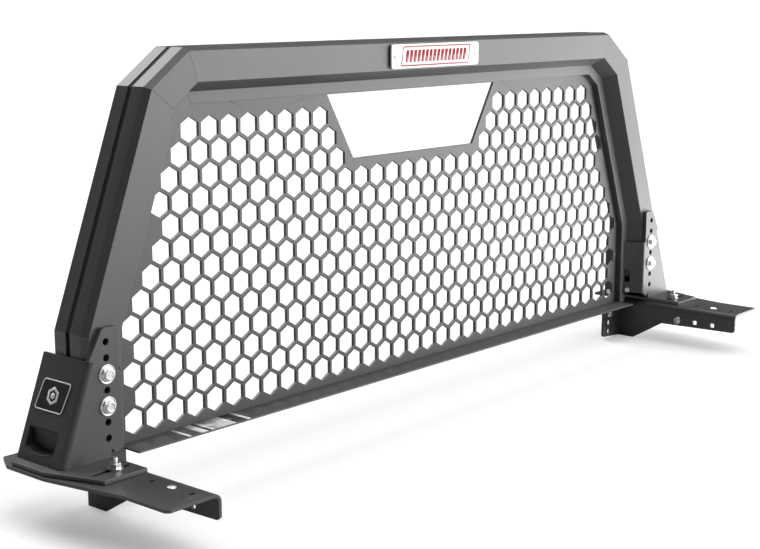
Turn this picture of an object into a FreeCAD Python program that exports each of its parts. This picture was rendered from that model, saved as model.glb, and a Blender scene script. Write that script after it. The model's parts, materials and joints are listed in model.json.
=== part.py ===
import FreeCAD, Part
import math
import os
import Sketcher
from FreeCAD import Placement, Rotation, Vector

# Truck headache rack (cab protector), millimetres, +Z up, +X to the right of the truck.
# The origin is the middle of the four bed rail holes, on the plane where the two rail
# brackets rest on the truck's bed rails. The hoop's front face looks along -Y.

DIMENSIONS = {
    # hoop: an extruded rail mitred into seven lengths, measured along its front outer edge
    "hoop_front": 170.5, "crown_half": 611.0, "crown_top": 627.5, "shoulder_half": 690.0,
    "shoulder_top": 571.0, "bend_half": 827.0, "bend_height": 205.0, "post_foot": 65.0,
    "ledge_foot": 4.0,
    # rail section: flat face, slanted inner face, ledge for the panel, T slot in the outer side
    "rail_face": 49.5, "slant_run": 16.7, "slant_depth": 31.5, "ledge_run": 19.3,
    "ledge_back": 44.2, "rail_depth": 78.0, "outer_step": 5.4, "bevel_depth": 14.0,
    "tube_wall": 3.2, "slot_near": 40.5, "slot_opening": 10.5, "slot_lip": 3.0,
    "slot_cavity": 19.5, "slot_hollow": 8.0, "trim_gap": 0.3, "trim_recess": 1.5,
    # perforated panel with a window for the truck's third brake light
    "panel_sheet": 5.5, "angle_sheet": 3.0, "panel_inset": 68.0, "panel_foot": 5.9, "hex_pitch": 44.25,
    "hex_flats": 38.2, "hex_top_row": 498.7, "window_top_half": 248.0, "window_top": 539.2,
    "window_foot_half": 178.3, "window_foot": 419.8, "lip_reach": 5.0, "lip_half": 741.0,
    "lip_upstand": 16.0,
    # adjustable foot: front wall with a row of holes, leaning side wall, inner wall
    "foot_front": 160.7, "foot_wall": 9.5, "foot_inner": 774.0, "foot_step": 147.0,
    "tab_inner": 780.0, "tab_outer": 811.0, "tab_top": 218.0, "wall_half": 836.0,
    "wall_height": 172.0, "wall_top": 169.5, "wall_back": 271.5, "side_wall": 3.5,
    "corner_radius": 11.0, "web_face": 754.0, "web_wall": 4.0, "web_back": 201.5,
    "web_top": 147.0, "web_foot": 27.0, "wall_foot": 20.0, "hole_column": 803.4,
    "hole_first": 44.0, "hole_pitch": 25.4,
    "hole_radius": 5.8, "base_top": 12.8, "base_foot": 5.8, "base_inner": 797.0,
    "base_front": 79.0, "base_back": 275.5, "base_nose": 879.0, "base_flare": 913.0,
    "width_slot_middle": 841.5, "width_slot_y": 112.5, "width_slot_length": 71.0,
    "width_slot_width": 10.6, "relief_width": 5.0, "relief_top": 24.5, "web_bend": 5.0,
    "web_window_foot": 52.0, "web_window_top": 82.0, "web_window_depth": 13.0,
    "rear_wall_front": 222.5, "rear_wall_back": 255.0, "rear_sheet": 4.0, "rear_bend": 6.0,
    "rear_wall_top": 147.0, "cup_notch_half": 864.0, "cup_notch_top": 67.0,
    "web_bolt_rise": 36.0, "web_bolt_height": 33.0, "rear_bolt_y": 240.0, "rear_bolt_height": 24.0,
    # tie-down cup in the side wall, badge on the side wall
    "cup_front": 187.0, "cup_back": 260.0, "cup_foot": 23.0, "cup_top": 63.0,
    "cup_sheet": 2.0, "cup_depth": 24.0,
    "badge_middle": 222.0, "badge_half": 35.5, "badge_foot": 88.0, "badge_top": 135.5,
    "badge_shear": 4.0, "badge_sheet": 1.2,
    # bed rail bracket: plate on the rail, flange inside the rail, tab across its back end
    "plate_sheet": 5.5, "fold_half": 786.0, "fold_radius": 14.0, "plate_front": -71.5,
    "plate_back": 308.5, "plate_nose": 889.0, "plate_flare": 917.0, "flange_back": 234.5,
    "flange_foot": -37.0, "deep_foot": -85.0, "tab_half": 716.0, "tab_foot": -79.5,
    "tab_head": -6.0, "tab_hole_step": 20.5, "tab_hole_radius": 6.5, "tab_hole_inset": 25.0,
    "rail_hole_half": 819.0, "rail_hole_spacing": 88.0,
    "rail_hole_radius": 4.75, "flange_hole": 9.5, "flange_hole_height": -27.5,
    # fasteners
    "small_bolt_radius": 3.0, "small_head_radius": 5.5, "small_head_height": 3.0,
    "dome_radius": 10.4, "dome_height": 3.8,
    "bolt_radius": 5.0, "washer_radius": 15.5, "washer_sheet": 2.0, "hex_across": 17.0,
    "nut_height": 8.0, "stud_half": 832.0,
    # name plate on the crown
    "name_half": 130.0, "name_height": 44.0, "name_foot": 581.0, "name_sheet": 3.0,
}

doc = FreeCAD.newDocument("headache_rack")
sheet = doc.addObject("Spreadsheet::Sheet", "Sizes")
for row_number, (alias, number) in enumerate(DIMENSIONS.items(), start=1):
    sheet.set("A%d" % row_number, alias)
    sheet.set("B%d" % row_number, str(number))
    sheet.setAlias("B%d" % row_number, alias)
doc.recompute()


class Sizes:
    """The sheet's numbers, read by name: size.rail_face."""

    def __getattr__(self, alias):
        return float(getattr(sheet, alias))


size = Sizes()
nodes = []


def bound(text):
    """Writes each size's name in an expression as a reference to its cell."""
    words = []
    word = ""
    for letter in text + " ":
        if letter.isalnum() or letter == "_":
            word += letter
            continue
        words.append("Sizes." + word if word in DIMENSIONS else word)
        words.append(letter)
        word = ""
    return "".join(words).strip()


def node(piece, label):
    piece.Label = label
    nodes.append(piece)
    return piece


def polygon(sketch, corners):
    """Adds a closed outline whose corners are bound to expressions."""
    first = sketch.GeometryCount
    count = len(corners)
    points = []
    for index in range(count):
        turn = 2 * math.pi * index / count
        points.append(Vector(100 * math.cos(turn), 100 * math.sin(turn), 0))
    lines = [Part.LineSegment(points[i], points[(i + 1) % count]) for i in range(count)]
    sketch.addGeometry(lines, False)
    for index in range(count):
        after = first + (index + 1) % count
        sketch.addConstraint(Sketcher.Constraint("Coincident", first + index, 2, after, 1))
    for index, (across, up) in enumerate(corners):
        for kind, text in (("DistanceX", across), ("DistanceY", up)):
            place = points[index].x if kind == "DistanceX" else points[index].y
            number = sketch.addConstraint(
                Sketcher.Constraint(kind, -1, 1, first + index, 1, place))
            sketch.setExpression("Constraints[%d]" % number, bound(text))


PLANES = {"XY": "XY_Plane", "XZ": "XZ_Plane", "YZ": "YZ_Plane"}


def pad(label, plane, outlines, length, shift=None):
    """A body made of one sketch and one pad that runs along the plane's positive axis."""
    body = doc.addObject("PartDesign::Body", label)
    sketch = body.newObject("Sketcher::SketchObject", label + "_outline")
    for feature in body.Origin.OriginFeatures:
        if feature.Role == PLANES[plane]:
            sketch.AttachmentSupport = [(feature, "")]
    sketch.MapMode = "FlatFace"
    for corners in outlines:
        polygon(sketch, corners)
    block = body.newObject("PartDesign::Pad", label + "_pad")
    block.Profile = sketch
    block.setExpression("Length", bound(length))
    block.Reversed = plane == "XZ"
    body.Tip = block
    for axis, text in (shift or {}).items():
        body.setExpression("Placement.Base." + axis, bound(text))
    return body


def box(label, low, high):
    """A block between two corners, each given as three expressions."""
    block = doc.addObject("Part::Box", label)
    for name, first, last in zip(("Length", "Width", "Height"), low, high):
        block.setExpression(name, bound("(%s) - (%s)" % (last, first)))
    for axis, first in zip("xyz", low):
        block.setExpression("Placement.Base." + axis, bound(first))
    return block


AXIS_TURNS = {"Z": Rotation(), "Y": Rotation(Vector(1, 0, 0), -90), "X": Rotation(Vector(0, 1, 0), 90)}


def cylinder(label, radius, height, start, axis):
    round_bar = doc.addObject("Part::Cylinder", label)
    round_bar.Placement = Placement(Vector(), AXIS_TURNS[axis])
    round_bar.setExpression("Radius", bound(radius))
    round_bar.setExpression("Height", bound(height))
    for name, text in zip("xyz", start):
        round_bar.setExpression("Placement.Base." + name, bound(text))
    return round_bar


def hexagon(label, across, height, start, axis):
    prism = doc.addObject("Part::Prism", label)
    prism.Polygon = 6
    prism.Placement = Placement(Vector(), AXIS_TURNS[axis])
    prism.setExpression("Circumradius", bound("(%s) / sqrt(3)" % across))
    prism.setExpression("Height", bound(height))
    for name, text in zip("xyz", start):
        prism.setExpression("Placement.Base." + name, bound(text))
    return prism


def cut(label, base, tools):
    tool = tools[0]
    if len(tools) > 1:
        tool = fuse(label + "_tools", tools)
    result = doc.addObject("Part::Cut", label)
    result.Base = base
    result.Tool = tool
    return result


def fuse(label, shapes):
    result = doc.addObject("Part::MultiFuse", label)
    result.Shapes = shapes
    return result


def group(label, pieces):
    """Keeps separate solids of the same kind together as one node."""
    result = doc.addObject("Part::Compound", label)
    result.Links = pieces
    return result


def both_sides(piece, name):
    """Keeps a piece as the right one, and its mirror image as the left one."""
    node(piece, "right_" + name)
    mirrored = doc.addObject("Part::Mirroring", "left_" + name)
    mirrored.Source = piece
    mirrored.Normal = Vector(1, 0, 0)
    node(mirrored, "left_" + name)


# ---------------------------------------------------------------- hoop rails

SLOT_MIDDLE = "(slot_near + slot_opening / 2)"
INNER_SIDE = "(rail_face + slant_run)"
LEDGE_EDGE = "(rail_face + slant_run + ledge_run)"
SLOT_SHOULDER = "(slot_lip - outer_step)"
SLOT_FLOOR = "(slot_lip + slot_hollow - outer_step)"

# sketch x is the distance inward from the front outer edge, sketch y the depth behind the face
RAIL_OUTLINE = [
    ("0", "0"),
    ("rail_face", "0"),
    (INNER_SIDE, "slant_depth"),
    (LEDGE_EDGE, "slant_depth"),
    (LEDGE_EDGE, "ledge_back"),
    (INNER_SIDE, "ledge_back"),
    (INNER_SIDE, "rail_depth"),
    ("-outer_step", "rail_depth"),
    ("-outer_step", "slot_near + slot_opening"),
    (SLOT_SHOULDER, "slot_near + slot_opening"),
    (SLOT_SHOULDER, SLOT_MIDDLE + " + slot_cavity / 2"),
    (SLOT_FLOOR, SLOT_MIDDLE + " + slot_cavity / 2"),
    (SLOT_FLOOR, SLOT_MIDDLE + " - slot_cavity / 2"),
    (SLOT_SHOULDER, SLOT_MIDDLE + " - slot_cavity / 2"),
    (SLOT_SHOULDER, "slot_near"),
    ("-outer_step", "slot_near"),
    ("-outer_step", "bevel_depth"),
]
RAIL_HOLLOW = [
    ("tube_wall / 2", "tube_wall"),
    ("rail_face - tube_wall / 2", "tube_wall"),
    (INNER_SIDE + " - tube_wall", "slant_depth"),
    (INNER_SIDE + " - tube_wall", "rail_depth - tube_wall"),
    ("tube_wall - outer_step", "rail_depth - tube_wall"),
    ("tube_wall - outer_step", SLOT_MIDDLE + " + slot_cavity / 2 + tube_wall"),
    (SLOT_FLOOR + " + tube_wall", SLOT_MIDDLE + " + slot_cavity / 2 + tube_wall"),
    (SLOT_FLOOR + " + tube_wall", SLOT_MIDDLE + " - slot_cavity / 2 - tube_wall"),
    ("tube_wall - outer_step", SLOT_MIDDLE + " - slot_cavity / 2 - tube_wall"),
    ("tube_wall - outer_step", "bevel_depth"),
]
TRIM_OUTLINE = [
    ("trim_recess - outer_step", "slot_near + trim_gap"),
    (SLOT_SHOULDER + " + trim_gap", "slot_near + trim_gap"),
    (SLOT_SHOULDER + " + trim_gap", SLOT_MIDDLE + " - slot_cavity / 2 + 2 * trim_gap"),
    (SLOT_FLOOR + " - slot_hollow / 2", SLOT_MIDDLE + " - slot_cavity / 2 + 2 * trim_gap"),
    (SLOT_FLOOR + " - slot_hollow / 2", SLOT_MIDDLE + " + slot_cavity / 2 - 2 * trim_gap"),
    (SLOT_SHOULDER + " + trim_gap", SLOT_MIDDLE + " + slot_cavity / 2 - 2 * trim_gap"),
    (SLOT_SHOULDER + " + trim_gap", "slot_near + slot_opening - trim_gap"),
    ("trim_recess - outer_step", "slot_near + slot_opening - trim_gap"),
]

OVERRUN = 120.0      # extra rail at each end, which the mitre cuts away
MITRE_BLOCK = 400.0  # side of the block that makes a mitre cut

# corners of the front outer edge from the middle of the crown down the right side
CORNERS = [
    (0.0, size.crown_top),
    (size.crown_half, size.crown_top),
    (size.shoulder_half, size.shoulder_top),
    (size.bend_half, size.bend_height),
    (size.bend_half, size.ledge_foot),
]


def slope(index):
    """How steeply length number index falls, in degrees below level."""
    start, end = CORNERS[index], CORNERS[index + 1]
    return math.degrees(math.atan2(start[1] - end[1], end[0] - start[0]))


def mitre_block(label, index, after):
    """The block on one side of the mitre plane at a corner."""
    lean = (slope(index - 1) + slope(index)) / 2
    turn = Rotation(Vector(0, 1, 0), 90 + lean)
    block = doc.addObject("Part::Box", label)
    block.Length = block.Width = block.Height = MITRE_BLOCK
    low = Vector(-MITRE_BLOCK / 2, -MITRE_BLOCK / 2, 0 if after else -MITRE_BLOCK)
    corner = Vector(CORNERS[index][0], size.hoop_front, CORNERS[index][1])
    block.Placement = Placement(corner + turn.multVec(low), turn)
    return block


def rail_length(label, outlines, index):
    """A length of rail on the right side, mitred at its ends."""
    start, end = CORNERS[index], CORNERS[index + 1]
    long = math.hypot(end[0] - start[0], end[1] - start[1])
    before = 0.0 if index == 0 else OVERRUN
    beyond = 0.0 if index == 3 else OVERRUN
    raw = pad(label + "_raw", "XY", outlines, "%.4f" % (long + before + beyond))
    turn = Rotation(Vector(0, 1, 0), 90 + slope(index))
    corner = Vector(start[0], size.hoop_front, start[1])
    raw.Placement = Placement(corner + turn.multVec(Vector(0, 0, -before)), turn)
    blocks = []
    if index > 0:
        blocks.append(mitre_block(label + "_mitre_a", index, False))
    if index < 3:
        blocks.append(mitre_block(label + "_mitre_b", index + 1, True))
    return cut(label + "_mitred", raw, blocks)


def whole_crown(label, half):
    """The crown length is its right half and that half's mirror image."""
    mirrored = doc.addObject("Part::Mirroring", label + "_other_half")
    mirrored.Source = half
    mirrored.Normal = Vector(1, 0, 0)
    joined = fuse(label + "_joined", [half, mirrored])
    joined.Refine = True
    return joined


rail_outlines = [RAIL_OUTLINE, RAIL_HOLLOW]
node(whole_crown("crown_rail", rail_length("crown", rail_outlines, 0)), "crown_rail")
both_sides(rail_length("corner", rail_outlines, 1), "corner_rail")

# the bolts of the foot run in an upright slot in the lower post's front wall
height_slot = box(
    "height_slot",
    ("hole_column - bolt_radius - 0.5", "hoop_front - 1", "ledge_foot - 1"),
    ("hole_column + bolt_radius + 0.5", "hoop_front + tube_wall + 1",
     "hole_first + 6 * hole_pitch + bolt_radius + 1"))
both_sides(cut("leg_slotted", rail_length("leg", rail_outlines, 2), [height_slot]), "leg_rail")
post_end = box(
    "post_end",
    ("bend_half - rail_face - slant_run", "hoop_front - 1", "ledge_foot - 1"),
    ("bend_half + rail_face", "hoop_front + rail_depth + 1", "post_foot"))
post = cut("post_cut", rail_length("post", rail_outlines, 3), [height_slot, post_end])
both_sides(post, "lower_post")

node(whole_crown("crown_trim", rail_length("crown_trim_half", [TRIM_OUTLINE], 0)), "crown_slot_trim")
both_sides(rail_length("corner_trim", [TRIM_OUTLINE], 1), "corner_slot_trim")
both_sides(rail_length("leg_trim", [TRIM_OUTLINE], 2), "leg_slot_trim")

# ---------------------------------------------------------------- panel

HEXES_PER_ROW = [27, 28, 29, 30, 29, 30, 31, 32, 33, 32, 33, 32, 33]
CUT_ROWS = {0: 8, 1: 9, 2: 10}  # rows that the window interrupts: hexagons left on each side


def inset_corner(index, inset):
    """Corner of the hoop's outline moved inward by a distance."""
    lean_in = math.radians(slope(index - 1))
    lean_out = math.radians(slope(index))
    half = (lean_out - lean_in) / 2
    bisector = (lean_out + lean_in) / 2
    reach = inset / math.cos(half)
    across, up = CORNERS[index]
    return (across - reach * math.sin(bisector), up - reach * math.cos(bisector))


def loop(points, depth):
    closed = [Vector(across, depth, up) for across, up in points]
    return Part.makePolygon(closed + closed[:1])


def hex_points(across, up):
    reach = size.hex_flats / math.sqrt(3)
    turns = [math.radians(30 + 60 * step) for step in range(6)]
    return [(across + reach * math.cos(turn), up + reach * math.sin(turn)) for turn in turns]


def hex_centres():
    rise = size.hex_pitch * math.sqrt(3) / 2
    for row, count in enumerate(HEXES_PER_ROW):
        for column in range(count):
            kept = CUT_ROWS.get(row, count)
            if min(column, count - 1 - column) >= kept:
                continue
            across = (column - (count - 1) / 2) * size.hex_pitch
            yield across, size.hex_top_row - row * rise


screw_places = []


def panel_outline():
    right = [inset_corner(index, size.panel_inset) for index in (1, 2, 3)]
    right.append((size.bend_half - size.panel_inset, size.panel_foot))
    left = [(-across, up) for across, up in reversed(right)]
    return right + left


def place_screws():
    """Screws behind the ledge all round: midway along it, in from the panel's edge."""
    inset = size.panel_inset + SCREW_INSET
    edge = [inset_corner(index, inset) for index in (1, 2, 3)]
    edge.append((size.bend_half - inset, size.panel_foot + SCREW_FOOT))
    for step in range(-2, 3):
        screw_places.append((step * edge[0][0] / 2.3, edge[0][1]))
    for start, end, shares in ((edge[0], edge[1], (0.5,)), (edge[1], edge[2], (0.08, 0.36, 0.64, 0.92)),
                               (edge[2], edge[3], (0.4, 1.0))):
        for share in shares:
            across = start[0] + (end[0] - start[0]) * share
            up = start[1] + (end[1] - start[1]) * share
            screw_places.append((across, up))
            screw_places.append((-across, up))


SCREW_SHANK = 2.4
SCREW_HEAD = 4.5
SCREW_HEAD_HEIGHT = 2.6
SCREW_INSET = 10.5
SCREW_FOOT = 22.0
place_screws()
panel_face_y = size.hoop_front + size.ledge_back
window = [
    (size.window_top_half, size.window_top), (size.window_foot_half, size.window_foot),
    (-size.window_foot_half, size.window_foot), (-size.window_top_half, size.window_top)]
holes = [loop(window, panel_face_y)]
for centre in hex_centres():
    holes.append(loop(hex_points(*centre), panel_face_y))
for across, up in screw_places:
    ring = Part.makeCircle(SCREW_SHANK + 0.1, Vector(across, panel_face_y, up), Vector(0, 1, 0))
    holes.append(Part.Wire([ring]))
panel_face = Part.Face([loop(panel_outline(), panel_face_y)] + holes, "Part::FaceMakerBullseye")
panel = doc.addObject("Part::Feature", "mesh_panel")
panel.Shape = panel_face.extrude(Vector(0, size.panel_sheet, 0))
node(panel, "mesh_panel")

screws = []
for number, (across, up) in enumerate(screw_places):
    face_place = Vector(across, panel_face_y, up)
    head_place = Vector(across, panel_face_y + size.panel_sheet, up)
    shank = Part.makeCylinder(SCREW_SHANK, size.panel_sheet, face_place, Vector(0, 1, 0))
    head = Part.makeCylinder(SCREW_HEAD, SCREW_HEAD_HEIGHT, head_place, Vector(0, 1, 0))
    screws.append(shank.fuse(head).removeSplitter())
panel_screws = doc.addObject("Part::Feature", "panel_screws")
panel_screws.Shape = Part.makeCompound(screws)
node(panel_screws, "panel_screws")

# the angle below the panel: a lip towards the front and an upstand behind the panel
bottom_rail = pad(
    "bottom_rail", "YZ",
    [[("hoop_front - lip_reach", "panel_foot - angle_sheet"),
      ("hoop_front + ledge_back + panel_sheet + angle_sheet", "panel_foot - angle_sheet"),
      ("hoop_front + ledge_back + panel_sheet + angle_sheet", "lip_upstand"),
      ("hoop_front + ledge_back + panel_sheet", "lip_upstand"),
      ("hoop_front + ledge_back + panel_sheet", "panel_foot"),
      ("hoop_front - lip_reach", "panel_foot")]],
    "2 * lip_half", {"x": "-lip_half"})
node(bottom_rail, "bottom_rail")

# ---------------------------------------------------------------- name plate

backing = box(
    "name_plate_backing",
    ("4 - name_half", "hoop_front - name_sheet", "name_foot + 4"),
    ("name_half - 4", "hoop_front", "name_foot + name_height - 4"))
node(backing, "name_plate_backing")
plate_block = box(
    "name_plate_block",
    ("-name_half", "hoop_front - 2 * name_sheet", "name_foot"),
    ("name_half", "hoop_front - name_sheet", "name_foot + name_height"))
screw_bores = []
screw_parts = []
for side in ("-", ""):
    across = side + "(name_half - 11)"
    up = "name_foot + name_height / 2"
    screw_bores.append(cylinder("name_bore_" + str(len(screw_bores)), "2.2", "2 * name_sheet",
                                (across, "hoop_front - 2.5 * name_sheet", up), "Y"))
    shank = cylinder("name_shank_" + str(len(screw_parts)), "2", "name_sheet",
                     (across, "hoop_front - 2 * name_sheet", up), "Y")
    head = cylinder("name_head_" + str(len(screw_parts)), "4", "2",
                    (across, "hoop_front - 2 * name_sheet - 2", up), "Y")
    screw_parts.append(fuse("name_screw_" + str(len(screw_parts)), [shank, head]))
node(cut("name_plate_bored", plate_block, screw_bores), "name_plate")
node(group("name_plate_screw_pair", screw_parts), "name_plate_screws")

# ---------------------------------------------------------------- feet

LEAN = (size.bend_half - size.shoulder_half) / (size.shoulder_top - size.bend_height)


def side_face(height):
    """How far out the leaning side wall's outer face is at a height."""
    return size.wall_half + (size.wall_height - height) * LEAN


def plan_face(points, height):
    """A face seen from above. A point with four numbers starts a bend through its last two."""
    edges = []
    for start, end in zip(points, points[1:] + points[:1]):
        first = Vector(start[0], start[1], height)
        last = Vector(end[0], end[1], height)
        if len(start) == 4:
            middle = Vector(start[2], start[3], height)
            edges.append(Part.Arc(first, middle, last).toShape())
        else:
            edges.append(Part.LineSegment(first, last).toShape())
    return Part.Face(Part.Wire(edges))


def bend_middle(centre_x, centre_y, radius, quarter):
    """Halfway point of a quarter bend: quarter holds the signs of x and y."""
    part = radius / math.sqrt(2)
    return (centre_x + quarter[0] * part, centre_y + quarter[1] * part)


WALL_OVERLAP = 12.0  # how far the bent wall runs into the flat one it is joined to
foot_low = size.base_top
outer = side_face(foot_low)
radius = size.corner_radius
bend_x, bend_y = outer - radius, size.foot_front + radius
inner_radius = radius - size.side_wall
outer_bend = bend_middle(bend_x, bend_y, radius, (1, -1))
inner_bend = bend_middle(bend_x, bend_y, inner_radius, (1, -1))
rear_face = size.foot_front + size.foot_wall
side_wall = doc.addObject("Part::Feature", "side_wall_prism")
side_wall_plan = plan_face([
    (bend_x - WALL_OVERLAP, size.foot_front),
    (bend_x, size.foot_front, outer_bend[0], outer_bend[1]),
    (outer, bend_y),
    (outer, size.wall_back),
    (outer - size.side_wall, size.wall_back),
    (outer - size.side_wall, bend_y, inner_bend[0], inner_bend[1]),
    (bend_x, size.foot_front + size.side_wall),
    (bend_x, rear_face),
    (bend_x - WALL_OVERLAP, rear_face)], foot_low)
wall_rise = size.wall_top - foot_low
side_wall.Shape = side_wall_plan.extrude(Vector(-LEAN * wall_rise, 0, wall_rise))

front_wall = pad(
    "front_wall", "XZ",
    [[("foot_inner + web_bend", "web_foot"),
      ("foot_inner + 10", "wall_foot"),
      ("base_inner", "wall_foot"),
      ("base_inner", "base_top"),
      ("%.3f" % (side_face(foot_low) - radius - WALL_OVERLAP / 2), "base_top"),
      ("%.3f" % (side_face(size.wall_top) - radius - WALL_OVERLAP / 2), "wall_top"),
      ("%.3f" % (side_face(size.wall_top) - 0.5), "wall_top"),
      ("tab_outer", "tab_top - 3"),
      ("tab_outer - 4", "tab_top"),
      ("tab_inner + 3", "tab_top"),
      ("tab_inner", "tab_top - 3"),
      ("tab_inner", "foot_step + 2"),
      ("foot_inner + web_bend", "foot_step")]],
    "foot_wall", {"y": "foot_front"})

# the inner web slants back along the slanted face of the post
corner = Vector(size.foot_inner, size.foot_front, 0)
web_run = Vector(size.web_face - size.foot_inner, size.web_back - size.foot_front, 0)
web_long = web_run.Length
along = web_run.normalize()
inward = Vector(along.y, -along.x, 0)
half_turn = math.acos(-along.x) / 2
bend_start = size.web_bend * math.tan(half_turn)
bisector = (Vector(1, 0, 0) + along).normalize()
web_middle = corner + bisector * (size.web_bend / math.cos(half_turn) - size.web_bend)
sheet_edge = corner + inward * size.web_wall
wall_meets = sheet_edge + along * ((rear_face - sheet_edge.y) / along.y)
web_end = corner + along * web_long
web_end_inside = sheet_edge + along * ((web_end.y - sheet_edge.y) / along.y)
web_start = corner + along * bend_start
inner_web = doc.addObject("Part::Feature", "inner_web")
web_plan = plan_face([
    (web_start.x, web_start.y, web_middle.x, web_middle.y),
    (corner.x + bend_start, corner.y),
    (corner.x + 2 * size.web_bend, corner.y),
    (corner.x + 2 * size.web_bend, rear_face),
    (wall_meets.x, rear_face),
    (web_end_inside.x, web_end_inside.y),
    (web_end.x, web_end.y)], size.web_foot)
inner_web.Shape = web_plan.extrude(Vector(0, 0, size.web_top - size.web_foot))

# the wall behind the post: in line with the inner web, bent to close the back of the foot
rear_wall = doc.addObject("Part::Feature", "rear_wall")
turn_x, turn_y = size.web_face + size.rear_bend, size.rear_wall_back - size.rear_bend
rear_inner_bend = size.rear_bend - size.rear_sheet
turn_outer = bend_middle(turn_x, turn_y, size.rear_bend, (-1, 1))
turn_inner = bend_middle(turn_x, turn_y, rear_inner_bend, (-1, 1))
rear_plan = plan_face([
    (size.web_face, size.rear_wall_front),
    (size.web_face, turn_y, turn_outer[0], turn_outer[1]),
    (turn_x, size.rear_wall_back),
    (side_face(foot_low), size.rear_wall_back),
    (side_face(foot_low), size.rear_wall_back - size.rear_sheet),
    (turn_x, size.rear_wall_back - size.rear_sheet, turn_inner[0], turn_inner[1]),
    (size.web_face + size.rear_sheet, turn_y),
    (size.web_face + size.rear_sheet, size.rear_wall_front)], foot_low)
weld_depth = size.side_wall - 0.5
rear_limits = Part.Face(loop([
    (size.web_face - 1, foot_low),
    (size.cup_notch_half, foot_low),
    (size.cup_notch_half, size.cup_notch_top),
    (side_face(size.cup_notch_top) - weld_depth, size.cup_notch_top),
    (side_face(size.rear_wall_top) - weld_depth, size.rear_wall_top),
    (size.web_face - 1, size.rear_wall_top)], size.rear_wall_front - 1))
rear_depth = size.rear_wall_back - size.rear_wall_front + 2
rear_wall.Shape = rear_plan.extrude(Vector(0, 0, size.rear_wall_top - foot_low)).common(
    rear_limits.extrude(Vector(0, rear_depth, 0)))

foot_shell = fuse("foot_shell", [side_wall, front_wall, inner_web, rear_wall])
foot_shell.Refine = True
height_holes = []
for step in range(7):
    height_holes.append(cylinder(
        "height_hole_%d" % step, "hole_radius", "foot_wall + 4",
        ("hole_column", "foot_front - 2", "hole_first + %d * hole_pitch" % step), "Y"))
relief = box(
    "bend_relief",
    ("base_inner - relief_width / 2", "foot_front - 2", "base_top - 1"),
    ("base_inner + relief_width / 2", "foot_front + foot_wall + 2", "relief_top"))
web_window = box(
    "web_window",
    ("web_face - 2", "web_back - web_window_depth", "web_window_foot"),
    ("web_face + web_window_depth", "web_back + web_wall", "web_window_top"))

# two small button-head bolts, one through the inner web and one through the wall behind the post
AXIS_TURNS["web"] = Rotation(Vector(0, 0, 1), inward)
web_bolt = corner + along * size.web_bolt_rise
wall_bolts = []
wall_bolt_holes = []
for name, wall, axis, normal, seat in (
        ("web_bolt", "web_wall", "web", inward, Vector(web_bolt.x, web_bolt.y, size.web_bolt_height)),
        ("rear_bolt", "rear_sheet", "X", Vector(1, 0, 0),
         Vector(size.web_face, size.rear_bolt_y, size.rear_bolt_height))):
    head_start = seat - normal * size.small_head_height
    hole_start = seat - normal
    wall_bolts.append(fuse(name, [
        cylinder(name + "_head", "small_head_radius", "small_head_height",
                 ["%.4f" % number for number in head_start], axis),
        cylinder(name + "_shank", "small_bolt_radius", wall + " + 0.8",
                 ["%.4f" % number for number in seat], axis)]))
    wall_bolt_holes.append(cylinder(name + "_hole", "small_bolt_radius + 0.1", wall + " + 2",
                                    ["%.4f" % number for number in hole_start], axis))


def cup_outline(grow):
    """Outline of the tie-down cup on the side wall: straight sides and a rounded foot."""
    front, back = size.cup_front - grow, size.cup_back + grow
    foot, top = size.cup_foot - grow, size.cup_top + grow
    sag = 8.0
    reach = 60.0
    x_low = side_face(size.cup_foot) - reach
    low_front = Vector(x_low, front, foot + sag)
    low_back = Vector(x_low, back, foot + sag)
    low_middle = Vector(x_low, (front + back) / 2, foot)
    top_front = Vector(x_low, front, top)
    top_back = Vector(x_low, back, top)
    edges = [
        Part.Arc(low_front, low_middle, low_back).toShape(),
        Part.LineSegment(low_back, top_back).toShape(),
        Part.LineSegment(top_back, top_front).toShape(),
        Part.LineSegment(top_front, low_front).toShape()]
    face = Part.Face(Part.Wire(edges))
    return face.extrude(Vector(2 * reach, 0, 0))


def slab(depth_outer, depth_inner, low, high):
    """The space between two depths behind the leaning side face, for heights low to high."""
    corners = [
        (side_face(low) - depth_outer[0], low), (side_face(high) - depth_outer[1], high),
        (side_face(high) - depth_inner[1], high), (side_face(low) - depth_inner[0], low)]
    wire = loop(corners, size.foot_front - 20)
    return Part.Face(wire).extrude(Vector(0, size.wall_back - size.foot_front + 60, 0))


cup_hole = doc.addObject("Part::Feature", "cup_hole")
cup_hole.Shape = cup_outline(0.0).common(
    slab((-10, -10), (size.side_wall + 6, size.side_wall + 6), size.cup_foot - 5, size.cup_top + 5))
node_foot = cut("foot_cut", foot_shell, height_holes + wall_bolt_holes + [relief, web_window, cup_hole])
both_sides(node_foot, "foot_bracket")
both_sides(group("wall_bolt_pair", wall_bolts), "wall_bolts")

# the cup: a scoop that starts at the side wall's face at its top and is deepest at its foot
GAP = 0.2
cup_low, cup_high = size.cup_foot - 5, size.cup_top + 5
cup_outside = cup_outline(-GAP).common(
    slab((0.4, 0.4), (size.cup_depth, size.side_wall + 0.6), cup_low, cup_high))
sheet_thick = size.cup_sheet
cup_inside = cup_outline(-GAP - sheet_thick).common(
    slab((-10, -10), (size.cup_depth - sheet_thick, size.side_wall + 0.6 - sheet_thick), cup_low, cup_high))
cup = doc.addObject("Part::Feature", "cup_scoop")
cup.Shape = cup_outside.cut(cup_inside)
both_sides(cup, "tie_down_cup")

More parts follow.
